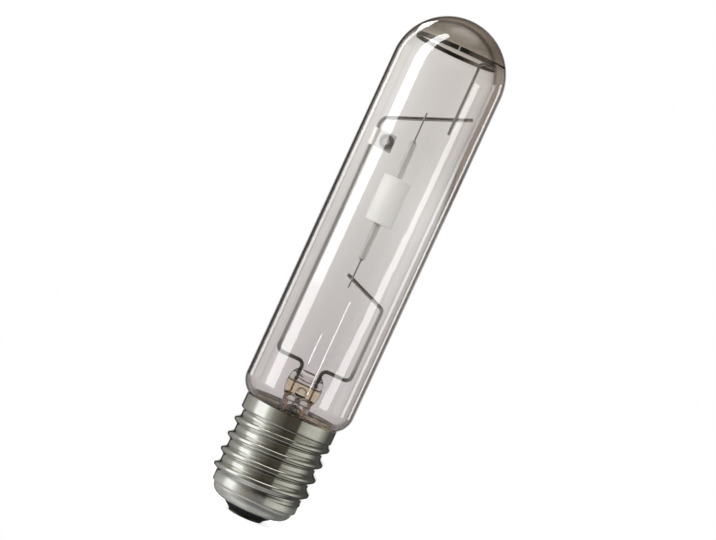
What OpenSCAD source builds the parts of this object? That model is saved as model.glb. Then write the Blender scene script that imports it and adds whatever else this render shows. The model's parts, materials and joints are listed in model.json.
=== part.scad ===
// Tubular discharge lamp: a clear bulb on an Edison screw cap, with a ceramic arc tube on a wire frame.
// Millimetres, +Z up the lamp's axis, origin in the middle of the contact's lower face.
// The arc tube and the getter are on the -Y side of the frame, which lies in the XZ plane.

/* [Bulb] */
// Outside diameter of the tubular bulb
bulb_d = 45.2; // [44:0.2:48]
// Thickness of the bulb's glass
bulb_wall = 1.1; // [0.8:0.05:1.4]
// Thickness of the glass at the top of the dome
dome_wall = 2; // [1.2:0.1:2.6]
// Length from the contact's lower face to the top of the dome
overall_length = 209.5; // [207:0.5:230]
// Radius of the shoulder above the cap, as a share of the step between the bulb and the neck
shoulder_share = 1.47; // [1.3:0.01:1.6]
// Radius of the hollow curve between the neck and the shoulder
neck_fillet_r = 2; // [1:0.25:2.5]
// Height of the neck's lower end above the contact's lower face
neck_bottom_z = 24.5; // [22:0.1:26]
// Gap between the neck and the root of the cap's thread
neck_clearance = 0.85; // [0.5:0.05:1.2]

/* [Cap shell] */
// Diameter over the thread's roots
thread_minor_d = 35.6; // [35.2:0.1:36.4]
// Height of the thread from its roots to its crests
thread_depth = 1.8; // [1.5:0.05:2]
// Flat part of a crest, as a share of half the pitch
thread_crest_share = 0.1; // [0:0.02:0.2]
// Flat part of a root, as a share of half the pitch
thread_root_share = 0.22; // [0:0.02:0.3]
// Rise of the thread in one turn
thread_pitch = 6.35; // [6:0.05:6.7]
// Height of the first full crest, on the -X side
first_crest_z = 14.3; // [13.8:0.1:15]
// Height at which the thread starts to rise out of the plain band
thread_start_z = 11.4; // [10.8:0.1:12]
// Height over which the thread grows to its full depth
thread_run_in = 2.8; // [2:0.1:4]
// Height over which the thread dies away into the skirt
thread_run_out = 1.8; // [1.2:0.1:2.6]
// Height of the cap's rim above the contact's lower face
cap_height = 44.3; // [43.5:0.1:45.5]
// Height of the plain skirt under the rim
skirt_height = 5.1; // [4.5:0.1:6]
// Step from the thread's roots out to the plain skirt
skirt_step = 1.3; // [1.1:0.05:1.6]
// Thickness of the shell's sheet metal
cap_wall = 0.35; // [0.25:0.05:0.5]
// Step from the thread's roots in to the plain band under the thread
band_step = 0.2; // [0.05:0.05:0.4]
// Step from the plain band in to the crease under it
crease_step = 1.1; // [0.8:0.05:1.4]
// Height of the crease
crease_z = 8.1; // [7.6:0.1:8.6]
// Height of the round edge between the crease and the band
bead_height = 1.1; // [0.8:0.1:1.6]
// Diameter of the shell's lower edge
shell_edge_d = 22.4; // [20:0.2:24]
// Height of the shell's lower edge
shell_edge_z = 3.6; // [3.2:0.1:5]

/* [Contact and insulator] */
// Diameter of the contact plate
contact_d = 14; // [12:0.2:16]
// Thickness of the contact plate
contact_t = 0.8; // [0.5:0.1:1.2]
// Radius of the contact plate's lower edge
contact_edge_r = 0.3; // [0.1:0.05:0.4]
// Outside diameter of the contact's eyelet
eyelet_d = 4; // [3.4:0.2:5]
// Diameter of the hole in the eyelet
eyelet_bore_d = 2; // [1.4:0.1:2.6]
// Height of the eyelet above the contact's lower face
eyelet_height = 7.4; // [7:0.1:8.5]
// Height of the insulator around the eyelet
insulator_middle_z = 6.6; // [6:0.1:7]
// Height of the insulator against the shell
insulator_top_z = 10.4; // [10:0.1:11]
// Width of the insulator's top against the shell
insulator_lip_w = 1.6; // [1:0.1:2.5]
// Gap between the contact plate's edge and the insulator's foot
insulator_foot_gap = 0.15; // [0.1:0.05:0.4]
// Exponent of the curve of the insulator's foot
insulator_foot_power = 1.1; // [1:0.1:2]
// Depth of the solder in the eyelet
contact_solder_h = 0.9; // [0.5:0.1:1.5]

/* [Basing] */
// Diameter of the outer lead wires
outer_lead_d = 0.8; // [0.6:0.05:1]
// Bend radius of the outer lead wires
outer_lead_bend = 2; // [1.5:0.25:3]
// Height at which the contact's lead turns in from the flare
centre_lead_turn_z = 21; // [19:0.5:23]
// Height at which the contact's lead reaches the axis
centre_lead_axis_z = 14; // [12:0.5:15]
// Diameter of the solder spot inside the shell
shell_solder_d = 2.2; // [1.6:0.1:2.6]
// Thickness of the solder spot inside the shell
shell_solder_t = 0.9; // [0.6:0.1:1.5]

/* [Stem] */
// Height of the top of the pressed glass
press_top_z = 61; // [59:0.5:62]
// Height of the bottom of the pressed glass, where the hollow tube starts
press_bottom_z = 48.2; // [47.5:0.1:49]
// Height of the widest place of the press
press_middle_z = 54.6; // [54:0.1:55]
// Half of the press's width at its widest place
press_half_w = 7.2; // [6.8:0.1:8]
// Half of the height of the curve of the press's sides
press_half_h = 9.3; // [8.8:0.1:10]
// Half of the thickness of the pressed flat
flat_half_t = 2; // [1.6:0.1:2.4]
// Lower edge of the pressed flat
flat_low_z = 50.8; // [50.4:0.1:51.2]
// Upper edge of the pressed flat
flat_high_z = 55.5; // [55:0.1:56]
// Half of the thickness of the bulge above the flat
bulge_half_t = 3; // [2.6:0.1:3.4]
// Height of the slopes at the edges of the flat
flat_slope_h = 0.8; // [0.5:0.1:1.2]
// Outside diameter of the flare's tube
flare_tube_d = 11.6; // [11.2:0.1:12.6]
// Thickness of the flare's glass
flare_wall = 1; // [0.8:0.05:1.2]
// Outside diameter of the exhaust tube
exhaust_d = 4; // [3.4:0.1:4.4]
// Diameter of the exhaust tube's bore
exhaust_bore_d = 2.4; // [1.8:0.1:2.6]
// Length of the exhaust tube below the press
exhaust_length = 16; // [12:0.5:18]
// Length of the melted tip that closes the exhaust tube
exhaust_tip_h = 3; // [2:0.25:4]
// Radius of the blown mouth of the exhaust channel in the press
exhaust_mouth_r = 2.2; // [1.8:0.1:2.4]
// Height of the blown mouth
exhaust_mouth_z = 52.4; // [52:0.1:53]
// Distance of each seal wire from the axis
seal_wire_x = 4.1; // [3.8:0.1:4.2]
// Diameter of the seal wires
seal_wire_d = 0.8; // [0.6:0.05:1]
// Height of the weld between a seal wire and its support wire
seal_weld_z = 56.2; // [55.6:0.1:57]

/* [Frame] */
// Diameter of the two support wires
frame_wire_d = 1.5; // [1.2:0.05:1.7]
// Distance of the long wire's leg from the bulb's inner wall
long_leg_gap = 6.05; // [5:0.05:7]
// Distance of the short wire's leg from the bulb's inner wall
short_leg_gap = 6.35; // [5:0.05:7]
// Height of the wires' feet above the press
foot_rise = 2.8; // [2.6:0.1:4]
// Bend radius of the wires' feet
foot_bend_r = 2.2; // [1.6:0.1:2.4]
// Bend radius between the long leg and the crossbar
crossbar_bend_r = 4; // [3:0.25:5]
// Bend radius between the short leg and its bar
short_bar_bend_r = 2; // [1.6:0.1:3]
// Slope of the crossbar in degrees
crossbar_angle = 22.5; // [18:0.5:26]
// Distance of the crossbar's cut end from the bulb's inner wall
crossbar_end_gap = 4.65; // [4.5:0.05:6.5]
// Slope of the short wire's bar in degrees
short_bar_angle = 21.1; // [16:0.5:25]
// Distance of the short bar's cut end from the axis, on the long wire's side
short_bar_end_x = 2.7; // [2:0.1:4]

/* [Arc tube] */
// Height of the middle of the arc tube, the light centre, as a share of the overall length
light_centre_share = 0.6372; // [0.62:0.0002:0.65]
// Distance of the arc tube from the bulb's axis, towards the long wire
arc_tube_offset = 0.45; // [0:0.05:0.6]
// Outside diameter of the barrel
barrel_d = 11.4; // [10:0.2:12.6]
// Length of the barrel
barrel_length = 19.2; // [18:0.2:21]
// Thickness of the barrel's wall
barrel_wall = 0.9; // [0.7:0.05:1.1]
// Radius of the barrel's outer edges
barrel_edge_r = 0.5; // [0.3:0.05:0.6]
// Thickness of the end discs
end_disc_t = 2; // [1.6:0.1:2.4]
// Outside diameter of the capillaries
capillary_d = 3; // [2.6:0.1:3.4]
// Diameter of the capillaries' bore
capillary_bore_d = 0.96; // [0.9:0.02:1.1]
// Length of each capillary outside the barrel
capillary_length = 14.8; // [13:0.2:16]
// Diameter of the lead wires
arc_lead_d = 0.66; // [0.5:0.02:0.8]
// Free length of the upper lead above its capillary
upper_lead_length = 12.4; // [11.5:0.1:14]
// Free length of the lower lead below its capillary
lower_lead_length = 12.2; // [11.5:0.1:14]
// Height of the crossbar above the upper capillary, at the arc tube
crossbar_rise = 10; // [9:0.1:10.5]
// Depth of the short bar below the lower capillary, at the arc tube
short_bar_drop = 8.6; // [8:0.1:9.5]
// Length of each lead inside its capillary
lead_inside = 7; // [5:0.5:8]
// Diameter of the electrodes' rods
electrode_d = 0.6; // [0.5:0.02:0.7]
// Length of each electrode beyond its end disc
electrode_reach = 3.6; // [3:0.1:4.4]
// Diameter of the wire that is wound on the electrodes' tips
tip_wire_d = 0.3; // [0.2:0.02:0.32]
// Number of turns on each electrode's tip
tip_turns = 5; // [3:1:7]
// Rise of the winding on the tips in one turn
tip_pitch = 0.36; // [0.36:0.02:0.5]
// Diameter of the frit drop on the end of a capillary
frit_d = 2; // [1.6:0.1:2.4]
// Height of the frit drop
frit_height = 0.8; // [0.5:0.1:1.2]

/* [Dome ring] */
// Distance of the spring ring in the dome from the bulb's inner wall
ring_wall_gap = 4.55; // [4:0.05:5.5]
// Height of the ring's strip
ring_height = 1.7; // [1.2:0.1:2.4]
// Thickness of the ring's strip
ring_t = 0.25; // [0.2:0.05:0.4]
// Height of the ring's middle above the start of the dome
ring_rise = 9.5; // [8:0.1:10.5]
// Open gap between the ring's two ends
ring_gap = 0.5; // [0.3:0.1:1]
// Diameter of the post that carries the ring
post_d = 1.15; // [0.9:0.05:1.3]
// Distance of the post from the ring's inner side
post_inset = 6.35; // [5.8:0.05:7]
// Bend radius at the post's top
post_bend_r = 1.5; // [1:0.1:2]
// Length of the post below the crossbar
post_tail = 6.2; // [5:0.1:7]

/* [Getter] */
// Length of the getter's strip
getter_strip_l = 10; // [9:0.1:11]
// Height of the getter's strip
getter_strip_h = 7; // [6.6:0.1:8]
// Thickness of the getter's strip
getter_strip_t = 0.3; // [0.2:0.05:0.4]
// Length of the strip on the outer side of the long leg
getter_strip_tail = 1.75; // [1.2:0.05:2.5]
// Height of the strip's middle above the light centre
getter_rise = 20.5; // [18:0.1:22]
// Outside diameter of the getter ring
getter_ring_d = 5.8; // [5:0.1:6.2]
// Width of the getter ring's channel, wall to wall
getter_ring_w = 1.7; // [1.4:0.1:1.9]
// Depth of the getter ring
getter_ring_h = 1.1; // [0.8:0.1:1.4]
// Sheet thickness of the getter ring
getter_ring_t = 0.2; // [0.15:0.05:0.3]
// Distance of the getter ring's middle from the strip's free end
getter_ring_inset = 3; // [2.9:0.05:3.4]

/* [Hidden] */
// Gap that stands for a weld or a fused joint
joint_gap = 0.03;
// Gap between the insulator or the cement and the shell
shell_gap = 0.1;
// Gap between the shoulder and the inside of the cap's rim
rim_gap = 0.15;
// Height and thickness of the ring that closes a seam between a bend and a straight
seam_h = 0.1;
seam_t = 0.01;
// Overrun of cuts
cut = 1;
// Steps of the thread in one turn, and rows in one pitch
turn_steps = 48;
rows_per_pitch = 9;
// Steps of a quarter arc in an outline
arc_steps = 12;
round_fn = 64;
wire_fn = 32;

bulb_r = bulb_d / 2;
bulb_ir = bulb_r - bulb_wall;
dome_z = overall_length - bulb_r;
thread_minor_r = thread_minor_d / 2;
thread_major_r = thread_minor_r + thread_depth;
skirt_r = thread_minor_r + skirt_step;
skirt_ir = skirt_r - cap_wall;
skirt_z = cap_height - skirt_height;
band_r = thread_minor_r - band_step;
crease_r = band_r - crease_step;
shell_edge_r = shell_edge_d / 2;
neck_r = thread_minor_r - cap_wall - neck_clearance;
neck_ir = neck_r - bulb_wall;
shoulder_r = shoulder_share * (bulb_r - neck_r);
shoulder_x = bulb_r - shoulder_r;
shoulder_z = cap_height + sqrt(pow(shoulder_r, 2) - pow(skirt_ir - rim_gap - shoulder_x, 2));
fillet_x = neck_r + neck_fillet_r;
fillet_z = shoulder_z - sqrt(pow(shoulder_r + neck_fillet_r, 2) - pow(fillet_x - shoulder_x, 2));
fillet_angle = atan2(shoulder_z - fillet_z, shoulder_x - fillet_x);
light_centre_z = light_centre_share * overall_length;

contact_r = contact_d / 2;
eyelet_r = eyelet_d / 2;
insulator_foot_r = contact_r + insulator_foot_gap;

flare_tube_r = flare_tube_d / 2;
flare_tube_ir = flare_tube_r - flare_wall;
flare_r = neck_ir - joint_gap - flare_tube_r;
flare_z = neck_bottom_z + flare_wall + flare_r + joint_gap;
outer_lead_top_z = press_bottom_z - joint_gap;
shell_lead_z = first_crest_z + thread_pitch / 2;
shell_solder_x = thread_minor_r - cap_wall - shell_gap;

frame_wire_r = frame_wire_d / 2;
foot_z = press_top_z + foot_rise;
long_leg_x = -(bulb_ir - long_leg_gap);
short_leg_x = bulb_ir - short_leg_gap;
crossbar_end_x = bulb_ir - crossbar_end_gap;
arc_lead_r = arc_lead_d / 2;
arc_x = -arc_tube_offset;
arc_y = -(frame_wire_r + arc_lead_r + joint_gap);
capillary_end = barrel_length / 2 + capillary_length;
crossbar_axis_z = light_centre_z + capillary_end + crossbar_rise;
short_bar_axis_z = light_centre_z - capillary_end - short_bar_drop;

ring_z = dome_z + ring_rise;
ring_r = bulb_ir - ring_wall_gap;
ring_ir = ring_r - ring_t;
post_x = ring_ir - post_inset;
post_r = post_d / 2;
post_y = -(frame_wire_r + post_r + joint_gap);
post_top_x = sqrt(pow(ring_ir, 2) - pow(post_r - post_y, 2)) - joint_gap;
getter_y = -(frame_wire_r + joint_gap);
getter_z = light_centre_z + getter_rise;
getter_end_x = long_leg_x - getter_strip_tail + getter_strip_l;

glass_color = [0.86, 0.9, 0.9, 0.35];
nickel_color = [0.55, 0.53, 0.5];

// Points of a circular arc, from one angle to another
function arc_points(x, z, r, from, to, steps = arc_steps) =
    [for (i = [0 : steps]) let (a = from + (to - from) * i / steps) [x + r * cos(a), z + r * sin(a)]];

// Smooth step from 0 to 1
function smooth_share(s) = let (u = max(0, min(1, s))) u * u * (3 - 2 * u);

// Height of a sloping bar above a place, when its height at the arc tube is known
function bar_z(x, axis_z, slope) = axis_z + (x - arc_x) * tan(slope);

function unit(v) = v / norm(v);
function reversed(list) = [for (i = [len(list) - 1 : -1 : 0]) list[i]];

// The bulb's side line from the neck to the top, moved inwards by the inset, and by another one at the top
function bulb_line(inset, top_inset) = concat(
    [[neck_r - inset, neck_bottom_z]],
    arc_points(fillet_x, fillet_z, neck_fillet_r + inset, 180, fillet_angle),
    arc_points(shoulder_x, shoulder_z, shoulder_r - inset, fillet_angle - 180, 0),
    [for (p = arc_points(0, 0, 1, 0, 90, 2 * arc_steps))
        [(bulb_r - inset) * p[0], dome_z + (bulb_r - top_inset) * p[1]]]
);

module outer_bulb() {
    color(glass_color)
        rotate_extrude($fn = 2 * round_fn)
            polygon(concat(bulb_line(0, 0), reversed(bulb_line(bulb_wall, dome_wall))));
}

// Half of the press's side profile: the bulge, the pressed flat and the foot on the tube
function press_side() = concat(
    [[flare_tube_r, press_bottom_z], [flat_half_t, flat_low_z], [flat_half_t, flat_high_z],
     [bulge_half_t, flat_high_z + flat_slope_h]],
    arc_points(0, press_top_z - bulge_half_t, bulge_half_t, 0, 90)
);

// The press: a round body with curved sides, pinched flat from the front and the back
module press_body() {
    low_angle = asin((press_bottom_z - press_middle_z) / press_half_h);
    high_angle = asin((press_top_z - press_middle_z) / press_half_h);
    side = [for (i = [0 : arc_steps]) let (a = low_angle + (high_angle - low_angle) * i / arc_steps)
        [press_half_w * cos(a), press_middle_z + press_half_h * sin(a)]];
    intersection() {
        rotate_extrude($fn = round_fn)
            polygon(concat([[0, press_bottom_z]], side, [[0, press_top_z]]));
        rotate([90, 0, 90])
            linear_extrude(height = 4 * press_half_w, center = true)
                polygon(concat(press_side(), [for (p = reversed(press_side())) [-p[0], p[1]]]));
    }
}

// The flare: a tube below the press that opens out to the bottom of the bulb's neck
module flare() {
    rotate_extrude($fn = round_fn)
        polygon(concat(
            [[flare_tube_r, press_bottom_z]],
            arc_points(flare_tube_r + flare_r, flare_z, flare_r, 180, 270),
            arc_points(flare_tube_r + flare_r, flare_z, flare_r + flare_wall, 270, 180),
            [[flare_tube_ir, press_bottom_z]]
        ));
}

module stem() {
    color(glass_color)
        difference() {
            union() {
                press_body();
                flare();
            }
            for (side = [-1, 1]) translate([side * seal_wire_x, 0, 0]) {
                translate([0, 0, press_bottom_z - cut])
                    cylinder(h = seal_weld_z - press_bottom_z + cut, d = seal_wire_d + 2 * joint_gap,
                        $fn = wire_fn);
                translate([0, 0, seal_weld_z])
                    cylinder(h = press_top_z - seal_weld_z + cut, r = frame_wire_r + joint_gap, $fn = wire_fn);
            }
            translate([0, 0, press_bottom_z - cut])
                cylinder(h = exhaust_mouth_z - press_bottom_z + cut, d = exhaust_bore_d, $fn = wire_fn);
            translate([0, -flat_half_t, exhaust_mouth_z]) sphere(r = exhaust_mouth_r, $fn = round_fn);
        }
}

// Exhaust tube, melted shut at its lower end after pumping
module exhaust_tube() {
    outer_r = exhaust_d / 2;
    bore_r = exhaust_bore_d / 2;
    top_z = press_bottom_z - joint_gap;
    tip_z = press_bottom_z - exhaust_length;
    shut_z = tip_z + exhaust_tip_h;
    tip_angles = [0, 15, 30, 45, 60, 75, 90];
    color(glass_color)
        rotate_extrude($fn = round_fn)
            polygon([
                [bore_r, top_z], [outer_r, top_z],
                for (a = tip_angles) [outer_r * cos(a), shut_z - exhaust_tip_h * sin(a)],
                for (a = reversed(tip_angles)) [bore_r * cos(a), shut_z + bore_r * (1 - sin(a))]
            ]);
}

module seal_wire(side) {
    color([0.6, 0.35, 0.2])
        translate([side * seal_wire_x, 0, press_bottom_z])
            cylinder(h = seal_weld_z - joint_gap - press_bottom_z, d = seal_wire_d, $fn = wire_fn);
}

// Round wire that starts up the +Z axis: a straight, then a bend in the XZ plane, and so on.
// A positive turn bends it towards +X. A hair-thin ring closes the seam at the end of each bend.
module wire_run(lengths, turns, bends, wire_r, step = 0) {
    cylinder(h = lengths[step], r = wire_r, $fn = wire_fn);
    if (step < len(turns)) translate([0, 0, lengths[step]]) {
        turn = abs(turns[step]);
        side = sign(turns[step]);
        bend_r = bends[step];
        translate([side * bend_r, 0, 0])
            rotate([90, 0, 0])
                mirror([side > 0 ? 1 : 0, 0, 0])
                    rotate_extrude(angle = turn, $fn = round_fn)
                        translate([bend_r, 0]) circle(r = wire_r, $fn = wire_fn);
        translate([side * bend_r * (1 - cos(turn)), 0, bend_r * sin(turn)])
            rotate([0, side * turn, 0]) {
                translate([0, 0, -seam_h / 2]) cylinder(h = seam_h, r = wire_r + seam_t, $fn = wire_fn);
                wire_run(lengths, turns, bends, wire_r, step + 1);
            }
    }
}

// Round wire along corner points [x, z] in a plane of constant Y, with one bend radius for each corner.
// Its first stretch is vertical.
module bent_wire(path, bends, wire_r, y = 0) {
    last = len(path) - 1;
    ways = [for (i = [0 : last - 1]) unit(path[i + 1] - path[i])];
    turns = [for (i = [1 : last - 1]) let (a = ways[i - 1], b = ways[i])
        atan2(a[1] * b[0] - a[0] * b[1], a[0] * b[0] + a[1] * b[1])];
    trims = concat([0], [for (i = [0 : last - 2]) bends[i] * tan(abs(turns[i]) / 2)], [0]);
    lengths = [for (i = [0 : last - 1]) norm(path[i + 1] - path[i]) - trims[i] - trims[i + 1]];
    translate([path[0][0], y, path[0][1]])
        rotate([ways[0][1] > 0 ? 0 : 180, 0, 0])
            wire_run(lengths, ways[0][1] > 0 ? turns : -turns, bends, wire_r);
}

// Long wire: foot, leg up the -X side, and the crossbar over the arc tube
module long_support_wire() {
    color(nickel_color)
        bent_wire([
            [-seal_wire_x, seal_weld_z], [-seal_wire_x, foot_z], [long_leg_x, foot_z],
            [long_leg_x, bar_z(long_leg_x, crossbar_axis_z, crossbar_angle)],
            [crossbar_end_x, bar_z(crossbar_end_x, crossbar_axis_z, crossbar_angle)]
        ], [foot_bend_r, foot_bend_r, crossbar_bend_r], frame_wire_r);
}

// Short wire: foot, leg up the +X side, and the bar under the arc tube
module short_support_wire() {
    color(nickel_color)
        bent_wire([
            [seal_wire_x, seal_weld_z], [seal_wire_x, foot_z], [short_leg_x, foot_z],
            [short_leg_x, bar_z(short_leg_x, short_bar_axis_z, -short_bar_angle)],
            [-short_bar_end_x, bar_z(-short_bar_end_x, short_bar_axis_z, -short_bar_angle)]
        ], [foot_bend_r, foot_bend_r, short_bar_bend_r], frame_wire_r);
}

// Places a piece of the arc tube: end 1 is the upper half, end -1 the lower one
module at_arc_tube(end) {
    translate([arc_x, arc_y, light_centre_z])
        if (end > 0) children();
        else rotate([180, 0, 0]) children();
}

module arc_tube_barrel() {
    outer_r = barrel_d / 2;
    half = barrel_length / 2;
    side = concat(
        arc_points(outer_r - barrel_edge_r, barrel_edge_r - half, barrel_edge_r, -90, 0),
        arc_points(outer_r - barrel_edge_r, half - barrel_edge_r, barrel_edge_r, 0, 90)
    );
    color([0.93, 0.93, 0.9])
        at_arc_tube(1)
            rotate_extrude($fn = round_fn)
                polygon(concat(side, [[outer_r - barrel_wall, half], [outer_r - barrel_wall, -half]]));
}

module end_disc(end) {
    disc_r = barrel_d / 2 - barrel_wall - joint_gap;
    color([0.93, 0.93, 0.9])
        at_arc_tube(end)
            translate([0, 0, barrel_length / 2 - end_disc_t])
                difference() {
                    cylinder(h = end_disc_t, r = disc_r, $fn = round_fn);
                    translate([0, 0, -cut])
                        cylinder(h = end_disc_t + 2 * cut, r = capillary_d / 2 + joint_gap, $fn = round_fn);
                }
}

module capillary(end) {
    inner_end = barrel_length / 2 - end_disc_t;
    color([0.93, 0.93, 0.9])
        at_arc_tube(end)
            translate([0, 0, inner_end])
                difference() {
                    cylinder(h = capillary_end - inner_end, d = capillary_d, $fn = round_fn);
                    translate([0, 0, -cut])
                        cylinder(h = capillary_end - inner_end + 2 * cut, d = capillary_bore_d, $fn = wire_fn);
                }
}

module arc_lead(end, free_length) {
    color(nickel_color)
        at_arc_tube(end)
            translate([0, 0, capillary_end - lead_inside])
                cylinder(h = lead_inside + free_length, r = arc_lead_r, $fn = wire_fn);
}

// Electrode: a rod from the lead's end into the barrel, with turns of wire at its tip
module electrode(end) {
    tip_z = barrel_length / 2 - end_disc_t - electrode_reach;
    root_z = capillary_end - lead_inside - joint_gap;
    turn_r = (electrode_d + tip_wire_d) / 2 - joint_gap;
    color([0.4, 0.4, 0.42])
        at_arc_tube(end) {
            translate([0, 0, tip_z]) cylinder(h = root_z - tip_z, d = electrode_d, $fn = wire_fn);
            for (i = [0 : tip_turns - 1])
                translate([0, 0, tip_z + tip_wire_d + tip_pitch * i])
                    rotate_extrude($fn = wire_fn)
                        translate([turn_r, 0]) circle(d = tip_wire_d, $fn = wire_fn);
        }
}

// Frit: a sleeve round the lead inside the capillary, and a drop on the capillary's end
module frit_seal(end) {
    inner_r = arc_lead_r + joint_gap;
    sleeve_r = capillary_bore_d / 2 - joint_gap;
    start_z = capillary_end + joint_gap;
    color([0.55, 0.5, 0.45])
        at_arc_tube(end)
            rotate_extrude($fn = wire_fn)
                polygon(concat(
                    [[inner_r, capillary_end - lead_inside / 2], [sleeve_r, capillary_end - lead_inside / 2],
                     [sleeve_r, start_z], [frit_d / 2, start_z]],
                    [for (a = [30, 60]) [inner_r + (frit_d / 2 - inner_r) * cos(a), start_z + frit_height * sin(a)]],
                    [[inner_r, start_z + frit_height]]
                ));
}

// Spring ring: one strip bent round, its two ends a small gap apart at the front
module dome_ring() {
    gap_angle = ring_gap / ring_r * 180 / PI;
    color(nickel_color)
        translate([0, 0, ring_z])
            rotate([0, 0, gap_angle / 2 - 90])
                rotate_extrude(angle = 360 - gap_angle, $fn = 2 * round_fn)
                    translate([ring_ir, -ring_height / 2]) square([ring_t, ring_height]);
}

// Post: stands on the crossbar's front and turns out to the ring at its top
module ring_post() {
    color(nickel_color)
        bent_wire([
            [post_x, bar_z(post_x, crossbar_axis_z, crossbar_angle) - post_tail], [post_x, ring_z],
            [post_top_x, ring_z]
        ], [post_bend_r], post_r, post_y);
}

module getter_strip() {
    color([0.62, 0.6, 0.56])
        translate([getter_end_x - getter_strip_l, getter_y - getter_strip_t, getter_z - getter_strip_h / 2])
            cube([getter_strip_l, getter_strip_t, getter_strip_h]);
}

// Getter ring: a channel of thin sheet, open to the front
module getter_ring() {
    outer_r = getter_ring_d / 2;
    inner_r = outer_r - getter_ring_w;
    color([0.35, 0.33, 0.32])
        translate([getter_end_x - getter_ring_inset, getter_y - getter_strip_t - joint_gap, getter_z])
            rotate([90, 0, 0])
                rotate_extrude($fn = round_fn)
                    polygon([
                        [inner_r, 0], [outer_r, 0], [outer_r, getter_ring_h],
                        [outer_r - getter_ring_t, getter_ring_h], [outer_r - getter_ring_t, getter_ring_t],
                        [inner_r + getter_ring_t, getter_ring_t], [inner_r + getter_ring_t, getter_ring_h],
                        [inner_r, getter_ring_h]
                    ]);
}

// The shell's plain rows below the thread: the round bottom, the bead over the crease and the band
cup_angles = [0, 15, 30, 45, 60, 75, 90];
bead_angles = [30, 60, 90];
plain_rows = concat(
    [for (a = cup_angles) [shell_edge_r + (crease_r - shell_edge_r) * sin(a),
        shell_edge_z + (crease_z - shell_edge_z) * (1 - cos(a))]],
    [for (a = bead_angles) [crease_r + (band_r - crease_r) * sin(a), crease_z + bead_height * (1 - cos(a))]]
);
thread_rows = round((skirt_z - thread_start_z) / thread_pitch * rows_per_pitch);
thread_row_h = (skirt_z - thread_start_z) / thread_rows;
shell_rows = len(plain_rows) + thread_rows + 2;

// Radius of the rolled thread at a height and an angle; it rises to the right
function thread_radius(z, angle) =
    let (
        turned = 360 * (z - first_crest_z) / thread_pitch - (angle - 180),
        from_crest_share = acos(cos(turned)) / 180,
        slope_share = 1 - thread_crest_share - thread_root_share,
        full_r = thread_major_r - thread_depth * smooth_share((from_crest_share - thread_crest_share) / slope_share),
        started_r = band_r + (full_r - band_r) * smooth_share((z - thread_start_z) / thread_run_in)
    )
    started_r + (skirt_r - started_r) * smooth_share((z - skirt_z + thread_run_out) / thread_run_out);

// Outer [radius, height] of the shell on a row, at an angle
function shell_point(row, angle) =
    let (z = thread_start_z + (row - len(plain_rows)) * thread_row_h)
    row < len(plain_rows) ? plain_rows[row]
    : row == shell_rows - 1 ? [skirt_r, cap_height]
    : [thread_radius(z, angle), z];

// The same point moved into the metal, square to the surface
function shell_inner_point(row, angle, depth) =
    let (
        along = unit(shell_point(min(row + 1, shell_rows - 1), angle) - shell_point(max(row - 1, 0), angle))
    )
    shell_point(row, angle) + depth * [-along[1], along[0]];

module cap_shell() {
    angles = [for (i = [0 : turn_steps - 1]) 360 * i / turn_steps];
    inner = shell_rows * turn_steps;
    last = (shell_rows - 1) * turn_steps;
    points = concat(
        [for (row = [0 : shell_rows - 1], a = angles)
            let (p = shell_point(row, a)) [p[0] * cos(a), p[0] * sin(a), p[1]]],
        [for (row = [0 : shell_rows - 1], a = angles)
            let (p = shell_inner_point(row, a, cap_wall)) [p[0] * cos(a), p[0] * sin(a), p[1]]]
    );
    walls = [for (row = [0 : shell_rows - 2], i = [0 : turn_steps - 1])
        let (
            low_left = row * turn_steps + i,
            low_right = row * turn_steps + (i + 1) % turn_steps,
            high_left = low_left + turn_steps,
            high_right = low_right + turn_steps
        )
        each [
            [low_left, high_left, high_right], [low_left, high_right, low_right],
            [inner + low_left, inner + high_right, inner + high_left],
            [inner + low_left, inner + low_right, inner + high_right]
        ]];
    rims = [for (i = [0 : turn_steps - 1]) let (next = (i + 1) % turn_steps)
        each [
            [last + i, inner + last + i, inner + last + next], [last + i, inner + last + next, last + next],
            [i, inner + next, inner + i], [i, next, inner + next]
        ]];
    color([0.62, 0.61, 0.54]) polyhedron(points = points, faces = concat(walls, rims), convexity = 8);
}

// Insulator: black glass cast into the shell's bottom, with a hole for the eyelet
module cap_insulator() {
    depth = cap_wall + shell_gap;
    hole_r = eyelet_r + joint_gap;
    foot_shares = [0, 0.2, 0.4, 0.6, 0.8, 1];
    foot_top_r = shell_edge_r - 2 * shell_gap;
    wall_r = band_r - depth;
    color([0.08, 0.08, 0.09])
        rotate_extrude($fn = round_fn)
            polygon(concat(
                [[hole_r, contact_t]],
                [for (s = foot_shares) [insulator_foot_r + (foot_top_r - insulator_foot_r) * pow(s, insulator_foot_power),
                    contact_t + (shell_edge_z - contact_t) * s]],
                [[foot_top_r, shell_inner_point(0, 0, depth)[1]]],
                [for (row = [1 : len(plain_rows) - 1]) shell_inner_point(row, 0, depth)],
                [[wall_r, insulator_top_z], [wall_r - insulator_lip_w, insulator_top_z],
                 [eyelet_r + insulator_lip_w, insulator_middle_z], [hole_r, insulator_middle_z]]
            ));
}

// Contact plate with its eyelet
module centre_contact() {
    bore_r = eyelet_bore_d / 2;
    color([0.72, 0.62, 0.4])
        rotate_extrude($fn = round_fn)
            polygon(concat(
                [[bore_r, 0]],
                arc_points(contact_r - contact_edge_r, contact_edge_r, contact_edge_r, -90, 0),
                [[contact_r, contact_t], [eyelet_r, contact_t], [eyelet_r, eyelet_height], [bore_r, eyelet_height]]
            ));
}

module contact_solder() {
    color([0.7, 0.7, 0.7])
        cylinder(h = contact_solder_h, r = eyelet_bore_d / 2 - joint_gap, $fn = wire_fn);
}

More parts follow.
